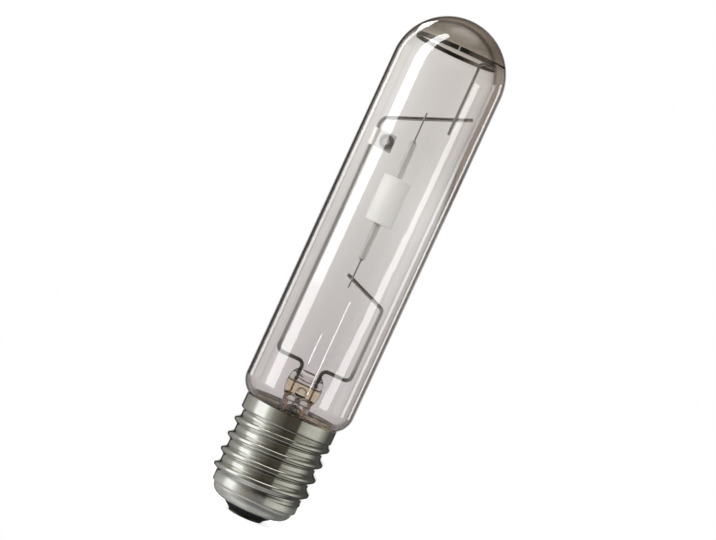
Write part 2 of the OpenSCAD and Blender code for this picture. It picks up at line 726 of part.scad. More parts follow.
// Lead from the right seal wire down through the eyelet to the contact
module centre_lead() {
    color([0.7, 0.42, 0.25])
        bent_wire([
            [seal_wire_x, outer_lead_top_z], [seal_wire_x, centre_lead_turn_z], [0, centre_lead_axis_z],
            [0, contact_solder_h + joint_gap]
        ], [outer_lead_bend, outer_lead_bend], outer_lead_d / 2);
}

// Lead from the left seal wire out to the shell
module shell_lead() {
    color([0.7, 0.42, 0.25])
        bent_wire([
            [-seal_wire_x, outer_lead_top_z], [-seal_wire_x, shell_lead_z],
            [-(shell_solder_x - shell_solder_t - joint_gap), shell_lead_z]
        ], [outer_lead_bend], outer_lead_d / 2);
}

module shell_solder() {
    color([0.7, 0.7, 0.7])
        translate([-shell_solder_x, 0, shell_lead_z])
            rotate([0, 90, 0]) cylinder(h = shell_solder_t, d = shell_solder_d, $fn = wire_fn);
}

// Ring of cement between the neck and the skirt
module basing_cement() {
    inner_r = neck_r + shell_gap;
    cement_height = fillet_z - skirt_z - 2 * shell_gap;
    color([0.85, 0.83, 0.78])
        translate([0, 0, skirt_z + shell_gap])
            difference() {
                cylinder(h = cement_height, r = skirt_ir - shell_gap, $fn = 2 * round_fn);
                translate([0, 0, -cut]) cylinder(h = cement_height + 2 * cut, r = inner_r, $fn = 2 * round_fn);
            }
}

outer_bulb();
stem();
exhaust_tube();
seal_wire(-1);  // left_seal_wire
seal_wire(1);  // right_seal_wire
long_support_wire();
short_support_wire();
arc_tube_barrel();
end_disc(1);  // upper_end_disc
end_disc(-1);  // lower_end_disc
capillary(1);  // upper_capillary
capillary(-1);  // lower_capillary
electrode(1);  // upper_electrode
electrode(-1);  // lower_electrode
arc_lead(1, upper_lead_length);  // upper_arc_lead
arc_lead(-1, lower_lead_length);  // lower_arc_lead
frit_seal(1);  // upper_frit_seal
frit_seal(-1);  // lower_frit_seal
dome_ring();
ring_post();
getter_strip();
getter_ring();
cap_shell();
cap_insulator();
centre_contact();
contact_solder();
centre_lead();
shell_lead();
shell_solder();
basing_cement();
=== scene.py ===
import json
import math

import bpy
from mathutils import Matrix, Vector


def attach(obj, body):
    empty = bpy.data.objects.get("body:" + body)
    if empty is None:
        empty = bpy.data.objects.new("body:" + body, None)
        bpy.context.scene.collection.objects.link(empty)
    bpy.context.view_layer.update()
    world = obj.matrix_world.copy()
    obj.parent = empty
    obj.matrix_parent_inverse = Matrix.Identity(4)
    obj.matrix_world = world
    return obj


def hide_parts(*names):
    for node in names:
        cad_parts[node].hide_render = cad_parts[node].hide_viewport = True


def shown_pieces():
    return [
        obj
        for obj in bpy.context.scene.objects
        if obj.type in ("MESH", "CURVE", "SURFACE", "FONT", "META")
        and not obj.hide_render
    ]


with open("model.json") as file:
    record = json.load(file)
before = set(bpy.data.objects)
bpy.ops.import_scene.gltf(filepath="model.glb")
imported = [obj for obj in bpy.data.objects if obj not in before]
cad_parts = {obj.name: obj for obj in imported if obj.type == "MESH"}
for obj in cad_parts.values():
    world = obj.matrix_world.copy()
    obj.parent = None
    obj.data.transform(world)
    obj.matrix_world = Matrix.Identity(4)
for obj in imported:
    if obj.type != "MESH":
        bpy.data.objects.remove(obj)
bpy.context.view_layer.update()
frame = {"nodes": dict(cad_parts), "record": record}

MM = 0.001
scene = bpy.context.scene


# Meshes, in millimetres, with heights from the contact's face

def arc(cx, cz, r, start, end, steps):
    turns = [math.radians(start + (end - start) * i / steps) for i in range(steps + 1)]
    return [(cx + r * math.cos(a), cz + r * math.sin(a)) for a in turns]


def quarter(r0, z0, r1, z1, steps):
    """A quarter of an ellipse that leaves (r0, z0) level and comes to (r1, z1) upright."""
    turns = [math.pi / 2 * i / steps for i in range(steps + 1)]
    return [(r0 + (r1 - r0) * math.sin(a), z0 + (z1 - z0) * (1 - math.cos(a))) for a in turns]


def smooth(share):
    u = max(0.0, min(1.0, share))
    return u * u * (3 - 2 * u)


def circle(r, z, count):
    """A ring of points, or one point where the radius is 0."""
    if r == 0:
        return [(0, 0, z)]
    turns = [2 * math.pi * i / count for i in range(count)]
    return [(r * math.cos(a), r * math.sin(a), z) for a in turns]


def loft(rings, closed=False):
    """Faces between rings of the same count; a ring of one vertex closes to a point."""
    verts = []
    starts = []
    for ring in rings:
        starts.append(len(verts))
        verts.extend(ring)
    faces = []
    count = len(rings)
    for k in range(count if closed else count - 1):
        low, high = rings[k], rings[(k + 1) % count]
        a, b = starts[k], starts[(k + 1) % count]
        steps = max(len(low), len(high))
        for i in range(steps):
            j = (i + 1) % steps
            if len(low) == 1:
                faces.append((a, b + j, b + i))
            elif len(high) == 1:
                faces.append((a + i, a + j, b))
            else:
                faces.append((a + i, a + j, b + j, b + i))
    return verts, faces


def flipped(faces):
    return [tuple(reversed(face)) for face in faces]


def add_piece(name, verts, faces, slot, sharp):
    """A piece of the lamp in the material of its slot, smooth but for edges above the sharp angle."""
    mesh = bpy.data.meshes.new(name)
    mesh.from_pydata([[c * MM for c in v] for v in verts], [], faces)
    mesh.validate()
    mesh.polygons.foreach_set("use_smooth", [True] * len(mesh.polygons))
    mesh.set_sharp_from_angle(angle=math.radians(sharp))
    mesh.materials.append(MATERIALS[slot])
    piece = bpy.data.objects.new(name, mesh)
    scene.collection.objects.link(piece)
    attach(piece, "root")
    return piece


# Nodes

def grey(value):
    return (value, value, value)


class Tree:
    """The nodes of a material or of the world, with short ways to add and join them."""

    def __init__(self, owner):
        owner.use_nodes = True
        self.nodes = owner.node_tree.nodes
        self.links = owner.node_tree.links
        self.nodes.clear()

    def feed(self, socket, value):
        """Set a socket to a number, a vector or a colour, or join it to another node's output."""
        if isinstance(value, (int, float)):
            socket.default_value = value
        elif isinstance(value, tuple):
            socket.default_value = value if socket.type == "VECTOR" else (*value, 1)
        else:
            self.links.new(value, socket)

    def add(self, kind, inputs=None, output=0, **settings):
        """Add a node, set it up, feed its inputs and return one of its outputs."""
        node = self.nodes.new("ShaderNode" + kind)
        for name, value in settings.items():
            setattr(node, name, value)
        for name, value in (inputs or {}).items():
            self.feed(node.inputs[name], value)
        return node.outputs[output]

    def end(self, kind, **parts):
        """Add the last node, and join its parts."""
        out = self.nodes.new("ShaderNodeOutput" + kind)
        for name, value in parts.items():
            self.links.new(value, out.inputs[name])

    def calc(self, operation, *values, **settings):
        return self.add("Math", dict(enumerate(values)), operation=operation, **settings)

    def share(self, value, scale, offset):
        """value * scale + offset, held between 0 and 1."""
        return self.calc("MULTIPLY_ADD", value, scale, offset, use_clamp=True)

    def mix(self, factor, first, second, blend="MIX"):
        return self.add("Mix", {"Factor": factor, "A": first, "B": second}, "Result",
                        data_type="RGBA", blend_type=blend)

    def ramp(self, value, stops):
        colours = self.add("ValToRGB", {"Fac": value}, "Color")
        band = colours.node.color_ramp.elements
        for k, (at, colour) in enumerate(stops):
            stop = band[k] if k < 2 else band.new(at)
            stop.position = at
            stop.color = (*colour, 1)
        return colours

    def between(self, value, low, high, start=0.0, end=1.0, **settings):
        """From start to end while the value runs from low to high."""
        inputs = {"Value": value, "From Min": low, "From Max": high, "To Min": start, "To Max": end}
        return self.add("MapRange", inputs, **settings)

    def noise(self, scale, stretch=(1, 1, 1), detail=4.0):
        place = self.add("Mapping", {"Vector": self.add("TexCoord", output="Object"), "Scale": stretch})
        return self.add("TexNoise", {"Vector": place, "Scale": scale, "Detail": detail}, "Fac")

    def spread(self, source, low, high):
        """A noise value spread from low to high."""
        return self.between(source, 0.3, 0.7, low, high)

    def relief(self, height, strength, depth):
        """A relief up to depth millimetres deep."""
        return self.add("Bump", {"Strength": strength, "Distance": depth * MM, "Height": height})

    def by_height(self, stops):
        """A colour that changes with the height on the lamp, with stops in millimetres."""
        low, high = stops[0][0], stops[-1][0]
        z = self.add("SeparateXYZ", {"Vector": self.add("TexCoord", output="Object")}, "Z")
        level = self.between(z, low * MM, high * MM)
        return self.ramp(level, [((at - low) / (high - low), colour) for at, colour in stops])


# Materials

def new_material(name):
    material = bpy.data.materials.new(name)
    return material, Tree(material)


def surface(name, first, second, rough, metallic=0.0, scale=900, stretch=(1, 1, 1), relief=0.1, depth=0.02,
            grain=4000, tint=None, dull=None, more=None):
    """A solid surface: two colours and a spread of roughness over a noise, and a fine relief.

    A tint by height is multiplied in, and what is duller by height is rougher and less metallic.
    """
    material, tree = new_material(name)
    mottle = tree.noise(scale, stretch)
    colour = tree.mix(tree.spread(mottle, 0, 1), first, second)
    roughness = tree.spread(mottle, *rough)
    if tint:
        colour = tree.mix(1.0, colour, tree.by_height(tint), "MULTIPLY")
    if dull:
        added = tree.by_height(dull)
        roughness = tree.calc("ADD", roughness, added)
        metallic = tree.calc("SUBTRACT", metallic, added)
    fine = tree.noise(grain, stretch, 6.0)
    shader = tree.add("BsdfPrincipled", {
        "Base Color": colour, "Metallic": metallic, "Roughness": roughness,
        "Normal": tree.relief(fine, relief, depth), **(more or {}),
    })
    tree.end("Material", Surface=shader)
    return material


def ceramic(name, first, second, rough, through):
    """Translucent fired ceramic: partly scattering, partly letting what is inside it show."""
    return surface(name, first, second, rough, scale=500, stretch=(1, 1, 0.4), relief=0.08,
                   more={"IOR": 1.7, "Transmission Weight": through})


# How much of the light stays in glass that is seen from square on (0) to edge on (1): painted shade that
# darkens the glass towards its edges, standing in for the dark outlines there
EDGE_SHADE = [
    (0.0, grey(1)), (0.63, grey(1)), (0.71, (0.32, 0.30, 0.29)), (0.84, (0.12, 0.11, 0.105)),
    (1.0, (0.10, 0.09, 0.085)),
]


def glass(name, colour, density, wave_scale, wave, tint):
    """Clear glass with a real wall: it refracts, tints by its depth and lets the lamps in. Its colour also
    changes with height, and darkens towards its edges as painted shade.
    """
    material, tree = new_material(name)
    # Painted shade: the glass's colour is darkened where the glass is seen edge on
    edge_shade = tree.ramp(tree.add("LayerWeight", {"Blend": 0.5}, "Facing"), EDGE_SHADE)
    wavy = tree.noise(wave_scale, (1, 1, 0.35), 2.0)
    shader = tree.add("BsdfPrincipled", {
        "Base Color": tree.mix(1.0, tree.by_height(tint), edge_shade, "MULTIPLY"),
        "Roughness": tree.spread(wavy, 0.0, 0.01), "IOR": 1.5, "Transmission Weight": 1.0,
        "Normal": tree.relief(wavy, wave, 0.2),
    })
    clear = tree.add("BsdfTransparent", {"Color": grey(0.98)})
    in_shadow = tree.add("LightPath", output="Is Shadow Ray")
    tree.end("Material", Surface=tree.add("MixShader", {"Fac": in_shadow, 1: shader, 2: clear}),
             Volume=tree.add("VolumeAbsorption", {"Color": colour, "Density": density}))
    return material


# Painted shade on the bulb: darker towards the neck, and darkest in a band of the dome just above the ring,
# which stands in for the ring's reflection there
BULB_PAINTED_SHADE = [
    (20, (0.827, 0.80, 0.805)), (60, (0.827, 0.80, 0.805)), (120, (0.891, 0.884, 0.877)),
    (150, (0.955, 0.95, 0.945)), (168, (0.995, 0.99, 0.985)), (195, (0.99, 0.98, 0.97)),
    (198.6, (0.72, 0.68, 0.63)), (201, (0.57, 0.53, 0.475)), (204.5, (0.51, 0.475, 0.425)),
    (205.3, (0.76, 0.725, 0.69)), (208.5, (0.80, 0.77, 0.75)), (212, grey(0.8)),
]

# The stem is brown in its flat part
STEM_TINT = [
    (20, grey(0.9)), (50.4, grey(0.95)), (51.2, (0.96, 0.86, 0.68)), (55.2, (0.96, 0.86, 0.68)),
    (56.0, grey(0.95)), (62, grey(0.97)), (64, grey(0.97)),
]

# The wires come out of the press darkened by its heat
WIRE_TINT = [(58, grey(0.28)), (66.6, grey(0.32)), (69.5, grey(0.85)), (180, grey(0.82))]

# The cap is duller below its thread
CAP_DULL = [(0, grey(0.16)), (10.6, grey(0.12)), (12.4, grey(0)), (16, grey(0))]

MATERIALS = {
    # The bulb's colour by height is painted shade: a darker neck and a dark band in the dome
    "bulb_glass": glass("bulb_glass_clear", (0.615, 0.575, 0.54), 200, 60, 0.006, BULB_PAINTED_SHADE),
    "stem_glass": glass("stem_glass_pressed", (0.80, 0.76, 0.70), 50, 260, 0.2, STEM_TINT),
    "frame_wire": surface(
        "frame_wire_nickel", (0.72, 0.68, 0.65), (0.52, 0.49, 0.47), (0.12, 0.22), metallic=1.0,
        scale=1500, stretch=(1, 1, 0.15), relief=0.12, tint=WIRE_TINT),
    "arc_lead_metal": surface(
        "arc_lead_dull", (0.46, 0.43, 0.42), (0.30, 0.28, 0.28), (0.3, 0.5), metallic=1.0,
        scale=2200, stretch=(1, 1, 0.2), relief=0.3),
    "seal_metal": surface(
        "seal_wire_brown", (0.30, 0.17, 0.08), (0.16, 0.085, 0.04), (0.3, 0.5), metallic=0.7, scale=1600),
    "alumina": ceramic("alumina_white", (0.95, 0.955, 0.94), (0.91, 0.92, 0.90), (0.16, 0.26), 0.0),
    "capillary": ceramic("alumina_capillary", (0.98, 0.98, 0.97), (0.94, 0.95, 0.93), (0.08, 0.15), 0.62),
    "frit_glass": surface("frit_dark", (0.32, 0.30, 0.27), (0.16, 0.15, 0.14), (0.2, 0.4), scale=1800),
    "tungsten": surface(
        "tungsten_grey", (0.34, 0.34, 0.36), (0.22, 0.22, 0.24), (0.35, 0.55), metallic=1.0, scale=2500),
    "ring_steel": surface(
        "ring_strip_bright", (0.24, 0.225, 0.20), (0.13, 0.12, 0.105), (0.1, 0.2), metallic=1.0,
        stretch=(0.3, 0.3, 1), relief=0.2),
    "getter_metal": surface(
        "getter_strip_satin", (0.92, 0.90, 0.87), (0.80, 0.78, 0.75), (0.4, 0.52), metallic=1.0,
        scale=1100, stretch=(1, 1, 0.3), relief=0.25),
    "getter_fill": surface(
        "getter_ring_dark", (0.34, 0.32, 0.31), (0.17, 0.16, 0.16), (0.32, 0.6), metallic=0.9, scale=1800),
    "cap_metal": surface(
        "cap_nickel", (0.76, 0.755, 0.71), (0.69, 0.685, 0.63), (0.06, 0.11), metallic=1.0,
        scale=220, stretch=(1, 1, 2.4), relief=0.25, depth=0.03, grain=700, dull=CAP_DULL),
    "black_glass": surface(
        "insulator_black_glass", (0.002, 0.002, 0.003), (0.007, 0.007, 0.008), (0.35, 0.6),
        scale=500, relief=0.2, depth=0.05, grain=1200, more={"Specular IOR Level": 0.08}),
    # Painted shade: the contact's brass is coloured nearly black, standing in for the shade at the lamp's
    # foot
    "contact_brass": surface(
        "contact_brass", (0.10, 0.085, 0.06), (0.05, 0.042, 0.03), (0.3, 0.5), metallic=1.0, scale=700),
    "solder": surface("solder_grey", (0.58, 0.58, 0.57), grey(0.40), (0.3, 0.5), metallic=1.0),
    "lead_copper": surface(
        "lead_copper", (0.72, 0.40, 0.24), (0.45, 0.23, 0.13), (0.25, 0.45), metallic=1.0,
        scale=1400, stretch=(1, 1, 0.2)),
    "cement": surface(
        "cement_dry", (0.62, 0.56, 0.40), (0.45, 0.40, 0.29), (0.75, 0.95),
        scale=800, relief=0.6, depth=0.08, grain=2500),
}


# Pieces that stay as the CAD has them: smooth faces and the material of their slot

CAD_SHARP = 38

slots = {m["slot"] for m in frame["record"]["materials"]}
for node in frame["nodes"].values():
    mesh = node.data
    mesh.polygons.foreach_set("use_smooth", [True] * len(mesh.polygons))
    mesh.set_sharp_from_angle(angle=math.radians(CAD_SHARP))
    for place in node.material_slots:
        slot = place.material.name.split(".")[0]
        if slot in slots:
            place.material = MATERIALS[slot]
for name in ("upper_capillary", "lower_capillary"):
    for place in frame["nodes"][name].material_slots:
        place.material = MATERIALS["capillary"]


# Bulb: one smooth blown tube with its shoulder and a dome that is thicker at the top and on one side

BULB_R, WALL, DOME_Z = 22.6, 1.1, 186.9
NECK_R, NECK_Z, NECK_MID_Z = 16.6, 24.5, 36.0
SHOULDER_R, SHOULDER_Z, FILLET_R = 8.82, 51.6865, 2.0
SHOULDER_X, FILLET_X = BULB_R - SHOULDER_R, NECK_R + FILLET_R
FILLET_Z = SHOULDER_Z - math.sqrt((SHOULDER_R + FILLET_R) ** 2 - (FILLET_X - SHOULDER_X) ** 2)
FILLET_END = math.degrees(math.atan2(SHOULDER_Z - FILLET_Z, SHOULDER_X - FILLET_X))
TUBE_Z, TUBE_STEP, TUBE_ROWS = 70, 7, 17
DOME_END = 89.5
AROUND = 192

# From THICK_Z up, over THICK_RUN, the inside shrinks by EXTRA and moves OVER to the left
THICK_Z, THICK_RUN, EXTRA, OVER = 128, 40, 1.1, 1.1


def bulb_line(inset):
    return (
        [(NECK_R - inset, NECK_Z), (NECK_R - inset, NECK_MID_Z)]
        + arc(FILLET_X, FILLET_Z, FILLET_R + inset, 180, FILLET_END, 16)
        + arc(SHOULDER_X, SHOULDER_Z, SHOULDER_R - inset, FILLET_END - 180, 0, 40)
        + [(BULB_R - inset, TUBE_Z + TUBE_STEP * i) for i in range(TUBE_ROWS)]
        + arc(0, DOME_Z, BULB_R - inset, 0, DOME_END, 60)
        + [(0, DOME_Z + BULB_R - inset)]
    )


def revolve(line):
    return loft([circle(r, z, AROUND) for r, z in line])


def thicker(x, y, z):
    """Towards the dome the wall grows, most on the right: a smaller round inside, set over to the left."""
    run = smooth((z - THICK_Z) / THICK_RUN)
    small = 1 - run * EXTRA / (BULB_R - WALL)
    above = DOME_Z + (z - DOME_Z) * small if z > DOME_Z else z
    return x * small - OVER * run, y * small, above


outer_verts, outer_faces = revolve(bulb_line(0))
inner_verts, inner_faces = revolve(bulb_line(WALL))
inner_verts = [thicker(*point) for point in inner_verts]
shift = len(outer_verts)
rim_faces = [(i, shift + i, shift + (i + 1) % AROUND, (i + 1) % AROUND) for i in range(AROUND)]
inner_faces = [tuple(shift + v for v in face) for face in flipped(inner_faces)]
wall_faces = outer_faces + inner_faces + rim_faces
bulb = add_piece("blown_bulb", outer_verts + inner_verts, wall_faces, "bulb_glass", 60)
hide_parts("outer_bulb")


# Cap shell: round bottom, crease, band, rolled thread and plain skirt

CREST, ROOT, PITCH, CREST_Z = 19.6, 17.8, 6.35, 14.3
START_Z, RUN_IN, RUN_OUT = 11.4, 2.8, 1.8
SKIRT_R, SKIRT_Z, CAP_TOP, SHEET = 19.1, 39.2, 44.3, 0.35
BAND_R, BAND_Z, CREASE_R, CREASE_Z, BEAD_H = 17.6, 10.2, 16.5, 8.1, 1.1
EDGE_R, EDGE_Z = 11.2, 3.6
CREST_SHARE, ROOT_SHARE = 0.1, 0.22
TURN, THREAD_ROWS = 160, 140
SKIRT_ROWS = [41.0, 43.0, 44.0, 44.2, CAP_TOP]


def thread_r(z, angle):
    """The radius of the rolled thread: flat crests and roots, and smooth flanks between them."""
    turned = 2 * math.pi * (z - CREST_Z) / PITCH - (angle - math.pi)
    from_crest = math.acos(max(-1.0, min(1.0, math.cos(turned)))) / math.pi
    full = CREST - (CREST - ROOT) * smooth((from_crest - CREST_SHARE) / (1 - CREST_SHARE - ROOT_SHARE))
    started = BAND_R + (full - BAND_R) * smooth((z - START_Z) / RUN_IN)
    return started + (SKIRT_R - started) * smooth((z - SKIRT_Z + RUN_OUT) / RUN_OUT)


below_thread = (
    quarter(EDGE_R, EDGE_Z, CREASE_R, CREASE_Z, 18)
    + quarter(CREASE_R, CREASE_Z, BAND_R, CREASE_Z + BEAD_H, 8)[1:]
    + [(BAND_R, BAND_Z)]
)
heights = [START_Z + (SKIRT_Z - START_Z) * i / THREAD_ROWS for i in range(THREAD_ROWS + 1)] + SKIRT_ROWS
turns = [2 * math.pi * i / TURN for i in range(TURN)]
sections = [below_thread + [(thread_r(z, angle), z) for z in heights] for angle in turns]
rows = len(heights) + len(below_thread)
outer_rings, inner_rings = [], []
for row in range(rows):
    outside, inside = [], []
    for angle, section in zip(turns, sections):
        below, above = section[max(row - 1, 0)], section[min(row + 1, rows - 1)]
        along = (above[0] - below[0], above[1] - below[1])
        size = math.hypot(*along)
        r, z = section[row]
        outside.append((r * math.cos(angle), r * math.sin(angle), z))
        r, z = r - SHEET * along[1] / size, z + SHEET * along[0] / size
        inside.append((r * math.cos(angle), r * math.sin(angle), z))
    outer_rings.append(outside)
    inner_rings.append(inside)
cap = add_piece("rolled_cap_shell", *loft(outer_rings + inner_rings[::-1], closed=True), "cap_metal", 50)
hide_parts("cap_shell")


# Stem: pressed glass on its flare, fused round the wires, with the dent of the exhaust hole

STEM_R, STEM_IN, STEM_TOP = 5.8, 4.8, 48.2
PRESS_HALF, PRESS_MID_Z, PRESS_RUN, PRESS_TOP = 7.2, 54.6, 9.3, 61.0
WIDEN_RUN, CORNER_Z, CORNER_RUN, CORNER_DROP = 2.2, 59.4, 1.6, 1.2
FOOT_DEPTH, FOOT_Z, FOOT_RUN = 2.9, 48.0, 2.6
FLAT_DEPTH, FLAT_LOW, FLAT_HIGH, FLAT_RUN = 2.0, 50.5, 55.3, 0.5
ROLL_R, ROLL_Z, ROLL_LEAST = 3.0, 58.0, 0.05
HOLE_R, HOLE_Z, RIM_R, RIM_RUN, RIM_H = 2.2, 52.4, 2.45, 0.4, 0.3
GROOVE_Z, GROOVE_SAG, GROOVE_HALF, GROOVE_END = 57.4, 0.7, 5.2, 0.8
GROOVE_DEPTH, GROOVE_RUN, WIRE_X, GROOVE_MOST = 0.5, 0.28, 4, 0.6
PRESS_ROW_Z, PRESS_STEP, PRESS_ROWS = 60.8, 0.14, 90
EXHAUST_R, EXHAUST_Z, EXHAUST_ROUND = 1.2, 49.0, 1.1
JOINT = 0.03


def press_half_width(z):
    body = PRESS_HALF * math.sqrt(1 - ((z - PRESS_MID_Z) / PRESS_RUN) ** 2)
    tube = STEM_R + (body - STEM_R) * smooth((z - STEM_TOP) / WIDEN_RUN)
    up = max(0.0, (z - CORNER_Z) / CORNER_RUN)
    return tube - CORNER_DROP * (1 - math.sqrt(max(0.0, 1 - up ** 2)))


def press_half_depth(z):
    if z > ROLL_Z:
        return max(ROLL_LEAST, math.sqrt(max(0.0, ROLL_R ** 2 - (z - ROLL_Z) ** 2)))
    foot = STEM_R + (FOOT_DEPTH - STEM_R) * smooth((z - FOOT_Z) / FOOT_RUN)
    flat = (FOOT_DEPTH - FLAT_DEPTH) * smooth((z - FLAT_LOW) / FLAT_RUN)
    return foot - flat + (ROLL_R - FLAT_DEPTH) * smooth((z - FLAT_HIGH) / FLAT_RUN)


def hole_y(x, y, z):
    """In front, the round mouth of the exhaust hole with its raised rim."""
    away = math.hypot(x, z - HOLE_Z)
    if away < HOLE_R:
        y = max(y, math.sqrt(HOLE_R ** 2 - away ** 2) - FLAT_DEPTH)
    return y - RIM_H * math.exp(-((away - RIM_R) / RIM_RUN) ** 2)


def groove(x, z):
    """The bent groove under the rolled top, between the wires."""
    off = z - GROOVE_Z - GROOVE_SAG * (x / WIRE_X) ** 2
    return GROOVE_DEPTH * math.exp(-(off / GROOVE_RUN) ** 2) * smooth((GROOVE_HALF - abs(x)) / GROOVE_END)


def press_ring(z):
    ring = []
    w, h = press_half_width(z), press_half_depth(z)
    for i in range(AROUND):
        a = 2 * math.pi * i / AROUND
        x = w * math.cos(a)
        s = w * math.sin(a) / h
        y = h * s / (1 + abs(s) ** 5) ** 0.2
        if y < 0:
            y = hole_y(x, y, z)
        y -= math.copysign(min(groove(x, z), abs(y) * GROOVE_MOST), y)
        ring.append((x, y, z))
    return ring


flare_edge = NECK_R - WALL - JOINT
flare_r = flare_edge - STEM_R
flare_z = NECK_Z + JOINT + STEM_R - STEM_IN + flare_r
inside_line = [
    (STEM_IN, 44.0), (STEM_IN, 47.6), (4.5, 48.1), (4.0, STEM_TOP), (1.3, STEM_TOP), (EXHAUST_R, 48.4),
    (EXHAUST_R, EXHAUST_Z),
]
skin = (
    arc(flare_edge, flare_z, flare_r, 180, 270, 24)
    + arc(flare_edge, flare_z, flare_r + STEM_R - STEM_IN, 270, 180, 24)
    + inside_line
    + arc(0, EXHAUST_Z, EXHAUST_ROUND, 0, 80, 6)
    + [(0, EXHAUST_Z + EXHAUST_ROUND)]
)
press_heights = [PRESS_TOP - 0.02, PRESS_TOP - 0.1]
press_heights += [PRESS_ROW_Z - PRESS_STEP * i for i in range(PRESS_ROWS)]
rings = [[(0, 0, PRESS_TOP)]]
rings += [press_ring(z) for z in press_heights]
rings += [circle(r, z, AROUND) for r, z in skin]
verts, faces = loft(rings)
stem = add_piece("pressed_stem", verts, flipped(faces), "stem_glass", 50)
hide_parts("stem")


# Getter strip: flat under its ring, and bent back round the front of the long leg

STRIP_Y, STRIP_LOW, STRIP_HIGH, STRIP_HALF = -0.93, 150.5, 157.5, 0.15
FOLD_X, FOLD_Y, FOLD_R = -14.9, 1.17, 2.1

strip_path = [(-7.2, STRIP_Y), (-10.5, STRIP_Y), (-13.2, STRIP_Y), (-14.2, STRIP_Y + 0.01)]
for degrees in (0, 10, 20, 30, 40, 48, 56, 64):
    a = math.radians(degrees)
    strip_path.append((FOLD_X - FOLD_R * math.sin(a), FOLD_Y - FOLD_R * math.cos(a)))
strip_rings = []
for k, (x, y) in enumerate(strip_path):
    x0, y0 = strip_path[max(k - 1, 0)]
    x1, y1 = strip_path[min(k + 1, len(strip_path) - 1)]
    size = math.hypot(x1 - x0, y1 - y0)
    nx, ny = -(y1 - y0) / size * STRIP_HALF, (x1 - x0) / size * STRIP_HALF
    strip_rings.append([(x + nx, y + ny, STRIP_LOW), (x - nx, y - ny, STRIP_LOW),
                        (x - nx, y - ny, STRIP_HIGH), (x + nx, y + ny, STRIP_HIGH)])
strip_verts, strip_faces = loft(strip_rings)
last = len(strip_verts) - 4
strip_faces += [(3, 2, 1, 0), (last, last + 1, last + 2, last + 3)]
strip = add_piece("folded_getter_strip", strip_verts, strip_faces, "getter_metal", 30)
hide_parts("getter_strip")


# Welds: small flattened nuggets where wires meet, each with its place and its half sizes

WELDS = [
    ("weld_upper_lead", (-0.45, -0.75, 168.1), (0.75, 0.5, 0.7)),
    ("weld_lower_lead", (-0.45, -0.75, 100.5), (0.75, 0.5, 0.7)),
    ("weld_ring_post", (10.35, -0.9, 172.4), (0.9, 0.5, 0.8)),
]
WELD_ROWS, WELD_AROUND, WELD_LUMPS, WELD_LUMP = 8, 16, 3, 0.08


def weld(name, place, half):
    x, y, z = place
    rings = [[(x, y, z - half[2])]]
    for k in range(1, WELD_ROWS):
        tilt = math.pi * (k / WELD_ROWS - 0.5)
        ring = []
        for i in range(WELD_AROUND):
            a = 2 * math.pi * i / WELD_AROUND
            out = (1 + WELD_LUMP * math.sin(WELD_LUMPS * a + k)) * math.cos(tilt)
            ring.append((x + half[0] * out * math.cos(a), y + half[1] * out * math.sin(a),
                         z + half[2] * math.sin(tilt)))
        rings.append(ring)
    rings.append([(x, y, z + half[2])])
    add_piece(name, *loft(rings), "frame_wire", 60)


for name, place, half in WELDS:
    weld(name, place, half)


# Surroundings: white for the camera, a studio for what is shiny, and a white sheet behind the glass

DUSK, WARM, WARM_HIGH = (0.05, 0.042, 0.038), (0.60, 0.53, 0.49), (0.50, 0.44, 0.38)
FILL = 0.5


def room(tree, around, up):
    """What shiny things see: dark behind the camera, pale walls, a bright panel on the left, a table."""
    sides = tree.ramp(around, [(degrees / 360 + 0.5, colour) for degrees, colour in [
        (-178, grey(0.10)), (-140, grey(0.30)), (-118, (0.36, 0.36, 0.33)), (-95, (0.52, 0.52, 0.50)),
        (-84, (1.28, 1.28, 1.32)), (-60, (1.3, 1.32, 1.34)), (-50, (0.62, 0.64, 0.60)),
        (-36, (0.28, 0.27, 0.24)), (-22, (0.15, 0.14, 0.12)), (-2, (0.065, 0.058, 0.046)),
        (28, (0.075, 0.068, 0.056)), (33, (0.37, 0.36, 0.32)), (58, (0.59, 0.60, 0.545)),
        (84, (0.62, 0.62, 0.58)), (104, (0.26, 0.26, 0.24)), (120, (0.09, 0.09, 0.08)), (140, grey(0.08)),
        (178, grey(0.10)),
    ]])
    low_high = tree.ramp(tree.calc("MULTIPLY_ADD", up, 1 / 180, 0.5), [
        (0.0, grey(1)), (0.56, grey(1)), (0.72, grey(0.75)), (1.0, grey(0.6)),
    ])
    shown = tree.mix(1.0, sides, low_high, "MULTIPLY")
    upper_right = tree.ramp(around, [
        (0.0, grey(0)), (0.5, grey(0)), (0.57, grey(0.7)), (0.85, grey(0.7)), (0.95, grey(0)),
    ])
    upper = tree.calc("MULTIPLY", tree.between(up, 12, 26), upper_right)
    shown = tree.mix(upper, shown, (0.10, 0.095, 0.085))
    shown = tree.mix(tree.between(up, 66, 74), shown, (1.5, 1.48, 1.42))
    shown = tree.mix(tree.between(up, -12, -20), shown, tree.ramp(around, [
        (0.0, grey(0.3)), (0.2, grey(0.3)), (0.3, grey(0.5)), (0.4, grey(0.25)), (0.5, grey(0.05)),
        (0.56, grey(0.03)), (0.8, grey(0.04)), (1.0, grey(0.1)),
    ]))
    return tree.mix(tree.between(up, -44, -58), shown, tree.ramp(around, [
        (0.0, grey(0.4)), (0.2, grey(0.55)), (0.3, grey(0.75)), (0.4, grey(0.5)), (0.5, grey(0.32)),
        (1.0, grey(0.32)),
    ]))


